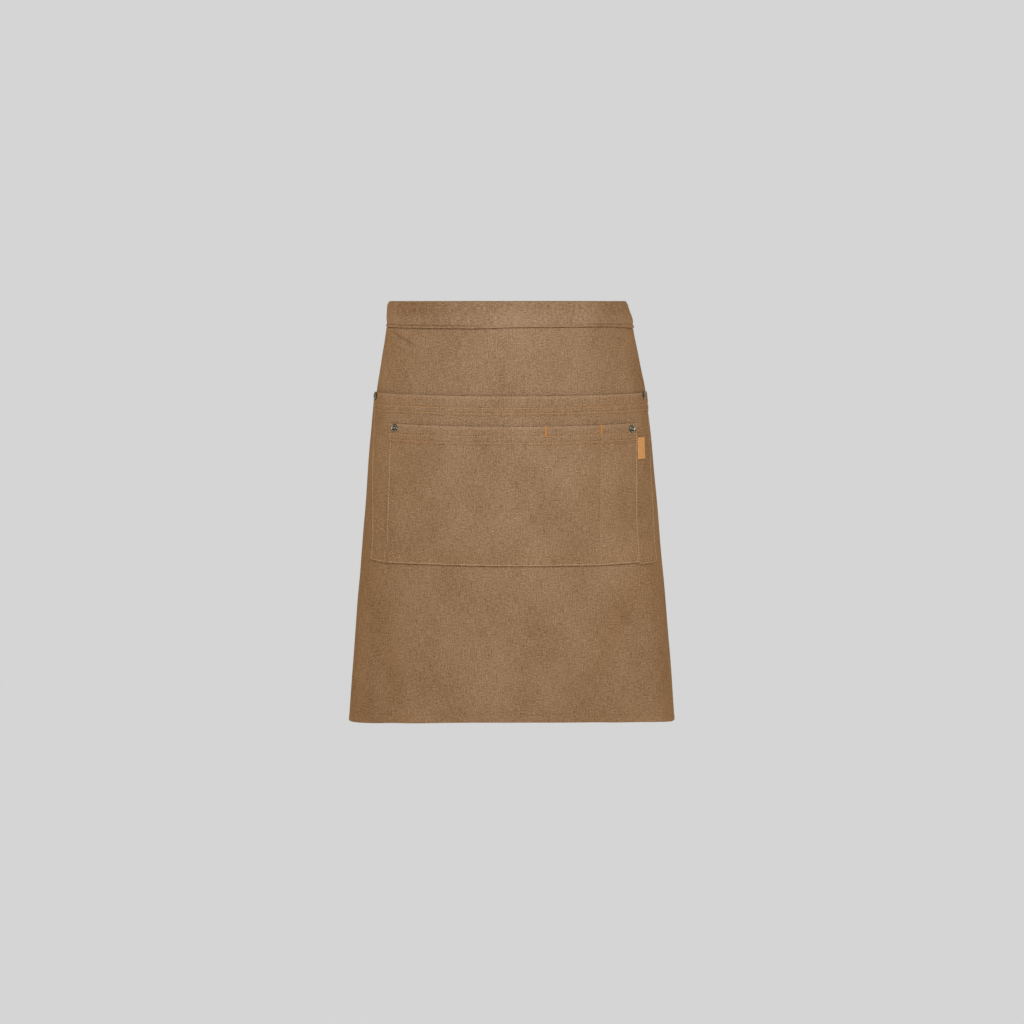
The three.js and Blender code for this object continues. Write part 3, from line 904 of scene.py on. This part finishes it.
def make_back_tie():
    """A flat tape with rounded edges, from inside one end of the waistband round to the other."""
    acrosses = np.concatenate([
        np.linspace(tie_start, tie_right, TIE_COLUMNS),
        np.linspace(tie_left, -tie_start, TIE_COLUMNS)[1:],
    ])
    half = TIE_THICKNESS / 2
    high = TIE_TOP + TIE_ROUNDING
    low = TIE_BOTTOM - TIE_ROUNDING
    face = np.full(TIE_LINES, half)
    rows = np.linspace(high, low, TIE_LINES)
    turn = np.linspace(0, np.pi, TIE_EDGE_POINTS)[1:-1]
    edge = half * np.cos(turn)
    bulge = TIE_ROUNDING * np.sin(turn)
    offsets = BAND_MIDDLE + np.concatenate([face, edge, -face, -edge])
    drops = np.concatenate([rows, low + bulge, rows[::-1], high - bulge])
    shape = (len(acrosses), len(offsets))
    return swept_wall(
        "apron_back_tie", acrosses, np.broadcast_to(offsets, shape), np.broadcast_to(drops, shape),
    )


back_tie = make_back_tie()

# Thread: the rows that show outside, and those inside

band_end = BAND_HALF - BAND_END_ROOM
panel_end = PANEL_HALF - EDGE_ROOM
panel_low = HEM_BOTTOM - EDGE_ROOM
back_high = BAND_HEIGHT + BAND_ROOM
large_end = LARGE_HALF - EDGE_ROOM
large_high = LARGE_TOP + RIVET_ROOM
front_high = FRONT_TOP + RIVET_ROOM

band_thread = stitches("thread_waistband", [
    ("across", row, -band_end, band_end, face, outwards)
    for face, outwards in ((band_outer, 1), (band_back, -1))
    for row in (BAND_TOP_ROW, BAND_LOW_ROW)
], band_hang)
panel_thread = stitches("thread_panel", [
    run
    for face, outwards, shift in ((panel_outer, 1, 0), (panel_inner, -1, INSIDE_SHIFT))
    for run in (
        ("across", PANEL_HEM_ROW + shift, -panel_end, panel_end, face, outwards),
        ("drop", BACK_ROW + shift, back_high + shift, panel_low, face, outwards),
        ("drop", -BACK_ROW - shift, back_high + shift, panel_low, face, outwards),
    )
], panel_hang)
large_thread = stitches("thread_large_pocket", [
    ("across", row, -large_end, large_end, large_outer, 1) for row in LARGE_HEM_ROWS
], large_hang)
large_edge_thread = stitches("thread_large_pocket_edge", [
    ("drop", large_side, large_high, BOTTOM_ROW, large_outer, 1),
    ("drop", -large_side, large_high, BOTTOM_ROW, large_outer, 1),
    ("across", BOTTOM_ROW, -large_side, FRONT_LEFT - EDGE_ROOM, large_outer, 1),
    ("across", BOTTOM_ROW, FRONT_RIGHT + EDGE_ROOM, large_side, large_outer, 1),
    ("drop", large_side, large_high, BOTTOM_ROW, panel_inner, -1),
    ("drop", -large_side, large_high, BOTTOM_ROW, panel_inner, -1),
    ("across", BOTTOM_ROW, -large_side, large_side, panel_inner, -1),
], large_hang, large_sway, seed=5)
front_thread = stitches("thread_front_pocket", [
    ("across", row, FRONT_LEFT + EDGE_ROOM, FRONT_RIGHT - EDGE_ROOM, front_outer, 1)
    for row in FRONT_HEM_ROWS
], front_hang)
divider_thread = stitches("thread_dividers", [
    ("drop", seam, FRONT_TOP + length, BOTTOM_ROW, front_outer, 1) for seam, length in BARTACKS
], front_hang, length=DIVIDER_STITCH_LENGTH, pitch=DIVIDER_STITCH_PITCH, seed=13)
edge_thread = stitches("thread_front_pocket_edge", [
    ("drop", front_start, front_high, BOTTOM_ROW, front_outer, 1),
    ("drop", front_end, front_high, BOTTOM_ROW, front_outer, 1),
    ("across", BOTTOM_ROW, front_start, front_end, front_outer, 1),
], front_hang, front_sway, seed=9)
bartacks = stitches("thread_bartacks", [
    ("across", row, seam - BARTACK_WIDTH / 2, seam + BARTACK_WIDTH / 2, front_plain, 1)
    for seam, length in BARTACKS
    for row in np.arange(FRONT_TOP + BARTACK_START, FRONT_TOP + length, BARTACK_PITCH)
], radius=BARTACK_RADIUS, length=BARTACK_WIDTH, pitch=BARTACK_WIDTH, seed=11)

# Rivets: their places, and the cap from rim to middle as shares of radius and height, with a
# raised ring, a groove and a crown

RIVET_PLACES = (
    ("rivet_large_left", -LARGE_HALF + 7, LARGE_TOP + 4.8, large_plain),
    ("rivet_large_right", LARGE_HALF - 16, LARGE_TOP + 4, large_plain),
    ("rivet_front_left", FRONT_LEFT + 9.5, FRONT_TOP + 5.6, front_plain),
    ("rivet_front_right", FRONT_RIGHT - 9.5, FRONT_TOP + 7, front_plain),
)
RIVET_CAP = (
    (1, 0.3), (0.97, 0.48), (0.92, 0.64), (0.84, 0.8), (0.75, 0.86), (0.66, 0.78), (0.58, 0.56),
    (0.52, 0.42), (0.44, 0.4), (0.38, 0.5), (0.34, 0.72), (0.26, 0.88), (0.14, 0.97), (0, 1),
)


def rivet(name, across, drop, outer):
    def seat(shift, fall):
        return Vector(cloth(across + shift, drop + fall, outer(across + shift, drop + fall)))

    axis = (seat(0, 1) - seat(0, -1)).cross(seat(1, 0) - seat(-1, 0)).normalized()
    beneath = large_plain(across, drop) - CLOTH if outer is front_plain else 0
    back = -float(outer(across, drop) - beneath) - RIVET_BACK_GAP
    back_end = back - RIVET_BACK_THICKNESS
    profile = [
        (0, back_end),
        (RIVET_BACK - RIVET_BACK_ROUNDING[0], back_end),
        (RIVET_BACK, back_end + RIVET_BACK_ROUNDING[1]),
        (RIVET_BACK, back - RIVET_BACK_BEVEL),
        (RIVET_BACK - RIVET_BACK_BEVEL, back),
        (RIVET_STEM, back),
        (RIVET_STEM, SEAM_GAP),
        (RIVET_RADIUS - RIVET_RIM, SEAM_GAP),
        (RIVET_RADIUS, SEAM_GAP + RIVET_RIM),
        *((wide * RIVET_RADIUS, high * RIVET_HEIGHT) for wide, high in RIVET_CAP),
    ]
    return lathe(name, profile, seat(0, 0), axis)


rivets = {
    node: rivet("apron_" + node, across, drop, outer) for node, across, drop, outer in RIVET_PLACES
}

# Materials


def linear(code):
    values = [int(code[i:i + 2], 16) / 255 for i in (1, 3, 5)]
    return [v / 12.92 if v <= 0.04045 else ((v + 0.055) / 1.055) ** 2.4 for v in values] + [1]


def new_material(name):
    material = bpy.data.materials.new(name)
    material.use_nodes = True
    return material, material.node_tree.nodes["Principled BSDF"]


def put(node, inputs):
    """A node's inputs: values to set, or sockets to link from."""
    for key, value in inputs.items():
        if isinstance(value, bpy.types.NodeSocket):
            node.id_data.links.new(value, node.inputs[key])
        else:
            node.inputs[key].default_value = value


def add(tree, kind, inputs, **settings):
    """One node with its settings and inputs."""
    node = tree.nodes.new("ShaderNode" + kind)
    for key, value in settings.items():
        setattr(node, key, value)
    put(node, inputs)
    return node


def per_metre(size):
    """How many times a pattern of this size in millimetres comes in a metre."""
    return 1 / (size * MM)


def cloth_vector(tree, size_across, size_down):
    """The cloth map, scaled so that one unit is a pattern's size in millimetres."""
    place = add(tree, "UVMap", {}, uv_map="cloth")
    scale = (per_metre(size_across), per_metre(size_down), 1)
    scaled = add(tree, "VectorMath", {0: place.outputs["UV"], 1: scale}, operation="MULTIPLY")
    return scaled.outputs["Vector"]


# A wave texture of scale 1 repeats every pi/10 units, so this scale gives one wave to the unit
WAVE_SCALE = math.pi / 10


def canvas(name, dark, light, thread_mm=1.0, fleck_mm=(1.5, 1.9)):
    """Plain-woven cotton canvas: a matt heather of pale and brown yarns with short slubs."""
    material, shader = new_material(name)
    tree = material.node_tree
    # Size in millimetres, detail and roughness of each pattern in the colour
    patterns = {
        "fleck": (fleck_mm, 3.0, 0.7),
        "weft": ((9, 0.9), 2.0, 0.6),
        "warp": ((0.9, 14), 2.0, 0.6),
        "fade": ((60, 80), 2.0, 0.5),
    }
    tone = {}
    for pattern, (size, detail, roughness) in patterns.items():
        noise = add(tree, "TexNoise", {
            "Vector": cloth_vector(tree, *size), "Scale": 1.0, "Detail": detail, "Roughness": roughness,
        })
        tone[pattern] = noise.outputs["Fac"]
    yarns = add(tree, "Mix", {"Factor": 0.5, "A": tone["weft"], "B": tone["warp"]})
    mixed = add(tree, "Mix", {"Factor": 0.45, "A": tone["fleck"], "B": yarns.outputs["Result"]})
    faded = add(tree, "Mix", {"Factor": 0.1, "A": mixed.outputs["Result"], "B": tone["fade"]})
    heather = add(tree, "MapRange", {"Value": faded.outputs["Result"], "From Min": 0.37, "From Max": 0.63})
    # The painted light and shade that each piece carries makes the heather darker or lighter
    painted_shading = add(tree, "Attribute", {}, attribute_name="painted_shading")
    painted_shade_tone = add(tree, "Math", {
        0: painted_shading.outputs["Fac"], 1: 0.45, 2: heather.outputs["Result"],
    }, operation="MULTIPLY_ADD")
    colour = add(tree, "Mix", {
        "Factor": painted_shade_tone.outputs["Value"], "A": linear(dark), "B": linear(light),
    }, data_type="RGBA")
    # The real yarns are about half a millimetre wide: the weave is drawn coarser so that it shows.
    yarn_place = cloth_vector(tree, thread_mm, thread_mm)
    over, under = (
        add(tree, "TexWave", {
            "Vector": yarn_place, "Scale": WAVE_SCALE, "Distortion": 1.2, "Detail": 1.0, "Detail Scale": 0.4,
        }, bands_direction=direction)
        for direction in ("X", "Y")
    )
    check = add(tree, "TexChecker", {"Vector": yarn_place, "Scale": 1.0})
    weave = add(tree, "Mix", {
        "Factor": check.outputs["Fac"], "A": over.outputs["Fac"], "B": under.outputs["Fac"],
    })
    rough = add(tree, "Mix", {"Factor": 0.35, "A": weave.outputs["Result"], "B": mixed.outputs["Result"]})
    bump = add(tree, "Bump", {"Height": rough.outputs["Result"], "Strength": 0.5, "Distance": 0.5 * MM})
    put(shader, {
        "Base Color": colour.outputs["Result"], "Normal": bump.outputs["Normal"],
        "Roughness": 0.62, "Specular IOR Level": 0.2,
    })
    return material


def mottled(tree, place, size, detail, dark, light):
    """Two tones that run into each other in soft spots of this size in millimetres."""
    spots = add(tree, "TexNoise", {"Vector": place, "Scale": per_metre(size), "Detail": detail})
    colour = add(tree, "Mix", {
        "Factor": spots.outputs["Fac"], "A": linear(dark), "B": linear(light),
    }, data_type="RGBA")
    return colour.outputs["Result"]


def thread(name, dark, light):
    """Twisted sewing thread: fine slanting plies with a slight gloss."""
    material, shader = new_material(name)
    tree = material.node_tree
    place = add(tree, "TexCoord", {}).outputs["Object"]
    # The real plies turn about every 0.4 mm: they are drawn coarser so that they show.
    twist = add(tree, "TexWave", {
        "Vector": place, "Scale": WAVE_SCALE * per_metre(0.63),
    }, bands_direction="DIAGONAL")
    bump = add(tree, "Bump", {"Height": twist.outputs["Fac"], "Strength": 0.4, "Distance": 0.1 * MM})
    put(shader, {
        "Base Color": mottled(tree, place, 2.4, 2.0, dark, light), "Normal": bump.outputs["Normal"],
        "Roughness": 0.6, "Specular IOR Level": 0.3,
    })
    return material


def antique_nickel(name):
    """Aged nickel plate: rubbed bright on the ring and the centre, dark at the rim and in the groove."""
    material, shader = new_material(name)
    tree = material.node_tree
    place = add(tree, "UVMap", {}, uv_map="cloth")
    width = add(tree, "SeparateXYZ", {"Vector": place.outputs["UV"]})
    spots = add(tree, "TexCoord", {})
    stain = add(tree, "TexNoise", {
        "Vector": spots.outputs["Object"], "Scale": per_metre(2.4), "Detail": 3.0,
    })
    part = add(tree, "Math", {
        0: width.outputs["X"], 1: per_metre(RIVET_RADIUS), 2: stain.outputs["Fac"],
    }, operation="MULTIPLY_ADD")
    ragged = add(tree, "Math", {0: part.outputs["Value"], 1: 0.5}, operation="SUBTRACT")
    tone = add(tree, "ValToRGB", {"Fac": ragged.outputs["Value"]})
    # Tones from the middle of the cap to its rim
    ramp = tone.color_ramp.elements
    ramp[0].color = linear("#a4aaae")
    ramp[1].color = linear("#232426")
    for position, code in (
        (0.24, "#868b8f"), (0.4, "#2a2b2c"), (0.56, "#323334"),
        (0.7, "#bcc3c9"), (0.84, "#888d92"), (0.93, "#303133"),
    ):
        ramp.new(position).color = linear(code)
    dull = add(tree, "MapRange", {"Value": stain.outputs["Fac"], "To Min": 0.22, "To Max": 0.5})
    put(shader, {"Base Color": tone.outputs["Color"], "Roughness": dull.outputs["Result"], "Metallic": 1})
    return material


def tan_leather(name):
    """Smooth tanned leather: a warm, slightly uneven tan with a fine pebbled grain."""
    material, shader = new_material(name)
    tree = material.node_tree
    place = add(tree, "TexCoord", {}).outputs["Object"]
    # The real grain is about 0.4 mm: it is drawn coarser so that it shows.
    grain = add(tree, "TexVoronoi", {"Vector": place, "Scale": per_metre(0.7)})
    bump = add(tree, "Bump", {"Height": grain.outputs["Distance"], "Strength": 0.35, "Distance": 0.2 * MM})
    put(shader, {
        "Base Color": mottled(tree, place, 3.8, 4.0, "#ba8550", "#d8a56e"),
        "Normal": bump.outputs["Normal"], "Roughness": 0.55,
    })
    return material


body_canvas = canvas("cotton_canvas", "#644119", "#ae9377")
band_canvas = canvas("waistband_canvas", "#63401a", "#ad9278", fleck_mm=(4.0, 1.2))
tie_tape = canvas("woven_tape", "#6c4f36", "#b89878", thread_mm=0.8)
seam_thread = thread("seam_thread", "#8d6640", "#bb9063")
hem_thread = thread("hem_thread", "#a2784d", "#c99e70")
pale_thread = thread("pale_thread", "#ae8d6a", "#d8ba9a")
bartack_thread = thread("bartack_thread", "#b87420", "#dc9c44")
nickel = antique_nickel("antique_nickel")
leather = tan_leather("tan_leather")

STANDS_FOR = (
    (panel, "skirt_panel", "canvas", body_canvas),
    (waistband, "waistband", "band_canvas", band_canvas),
    (large_pocket, "large_pocket", "canvas", body_canvas),
    (front_pocket, "front_pocket", "canvas", body_canvas),
    (side_tab, "side_tab", "tab_leather", leather),
    (back_tie, "back_tie", "tie_tape", tie_tape),
    *((piece, node, "rivet_metal", nickel) for node, piece in rivets.items()),
)
for piece, node, slot, material in STANDS_FOR:
    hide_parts(node)
    piece.data.materials.append(material)
SEWN_WITH = (
    (seam_thread, [band_thread, panel_thread]),
    (hem_thread, [large_thread, front_thread, divider_thread]),
    (pale_thread, [large_edge_thread, edge_thread]),
    (bartack_thread, [bartacks]),
)
for material, pieces in SEWN_WITH:
    for piece in pieces:
        piece.data.materials.append(material)

# Studio, in metres: a pale seamless sweep all round, a large cool key in front, a warm bounce from
# below, a small rim light at the left of the waist and a soft light behind

SWEEP_RADIUS = 4.8
SWEEP_FILLET = 1.4
SWEEP_HEIGHT = 4.5
SWEEP_SIDES = 64
FILLET_POINTS = 9
FLOOR_LEVEL = -0.98
BOUNCE_DIRECTION = (0.17, 0.3, -0.94)
BOUNCE_COLOUR = (1.02, 0.82, 0.57, 1)
OPPOSITE_COLOUR = (0.33, 0.19, 0.02, 1)


def studio_sweep():
    """A round floor that curves up into a wall."""
    angles = np.linspace(0, np.pi / 2, FILLET_POINTS)
    radii = SWEEP_RADIUS - SWEEP_FILLET + SWEEP_FILLET * np.sin(angles)
    heights = FLOOR_LEVEL + SWEEP_FILLET * (1 - np.cos(angles))
    profile = [*zip(radii, heights), (SWEEP_RADIUS, FLOOR_LEVEL + SWEEP_HEIGHT)]
    turns = np.arange(SWEEP_SIDES) * 2 * np.pi / SWEEP_SIDES
    points = [(0.0, 0.0, FLOOR_LEVEL)]
    points += [(r * math.cos(turn), r * math.sin(turn), z) for r, z in profile for turn in turns]
    ids = 1 + np.arange(len(profile) * SWEEP_SIDES).reshape(-1, SWEEP_SIDES)
    faces = ring_faces(ids) + [[0, a, b] for a, b in zip(ids[0], np.roll(ids[0], -1))]
    return new_object("studio_floor", points, faces)


sweep = studio_sweep()
sweep.visible_diffuse = False
sweep.visible_glossy = False
# Matt studio paper with a glow of its own, which gives it one even pale tone
paper, paper_shader = new_material("pale_paper")
put(paper_shader, {
    "Base Color": linear("#101010"), "Roughness": 1, "Specular IOR Level": 0,
    "Emission Color": linear("#d5d5d5"), "Emission Strength": 0.995,
})
sweep.data.materials.append(paper)

scene = bpy.context.scene
scene.view_settings.view_transform = "Standard"
scene.world = bpy.data.worlds.new("studio_air")
scene.world.use_nodes = True
air = scene.world.node_tree
around = add(air, "TexCoord", {})
facing = add(air, "VectorMath", {
    0: around.outputs["Generated"], 1: BOUNCE_DIRECTION,
}, operation="DOT_PRODUCT")
bounce_part = add(air, "MapRange", {"Value": facing.outputs["Value"], "From Min": -1.0, "From Max": 1.0})
tint = add(air, "Mix", {
    "Factor": bounce_part.outputs["Result"], "A": OPPOSITE_COLOUR, "B": BOUNCE_COLOUR,
}, data_type="RGBA")
put(air.nodes["Background"], {"Color": tint.outputs["Result"], "Strength": 1})

# Lights: name, place, target, width and height, power in watts and colour
LIGHTS = (
    ("key", (0, -1.4, 0.3), (0, -0.1, -0.2), (0.9, 0.6), 18, (0.74, 0.85, 1)),
    ("rim", (-0.8, 0.22, 0.36), (-0.15, 0, 0), (0.4, 0.4), 1.1, (1, 0.86, 0.62)),
    ("back", (0, 1.5, 0.2), (0, 0.1, -0.2), (0.6, 0.6), 9, (0.78, 0.88, 1)),
)
for name, place, target, size, power, colour in LIGHTS:
    lamp = bpy.data.lights.new(name, "AREA")
    lamp.shape = "RECTANGLE"
    lamp.size, lamp.size_y = size
    lamp.energy = power
    lamp.color = colour
    light = bpy.data.objects.new(name, lamp)
    light.visible_camera = False
    light.location = place
    light.rotation_euler = (Vector(target) - Vector(place)).to_track_quat("-Z", "Y").to_euler()
    bpy.context.collection.objects.link(light)

# Camera: a little above the waist, three metres in front

CAMERA_DISTANCE = 3.0
CAMERA_RISE = math.radians(5.3)
CAMERA_TARGET = Vector((0.0025, 0, -0.2465))
CAMERA_SENSOR = 36
CAMERA_LENS = 84.8
camera_data = bpy.data.cameras.new("camera")
camera_data.sensor_fit = "HORIZONTAL"
camera_data.sensor_width = CAMERA_SENSOR
camera_data.lens = CAMERA_LENS
camera = bpy.data.objects.new("camera", camera_data)
away = Vector((0, -math.cos(CAMERA_RISE), math.sin(CAMERA_RISE)))
camera.location = CAMERA_TARGET + CAMERA_DISTANCE * away
camera.rotation_euler = (-away).to_track_quat("-Z", "Y").to_euler()
bpy.context.collection.objects.link(camera)
scene.camera = camera
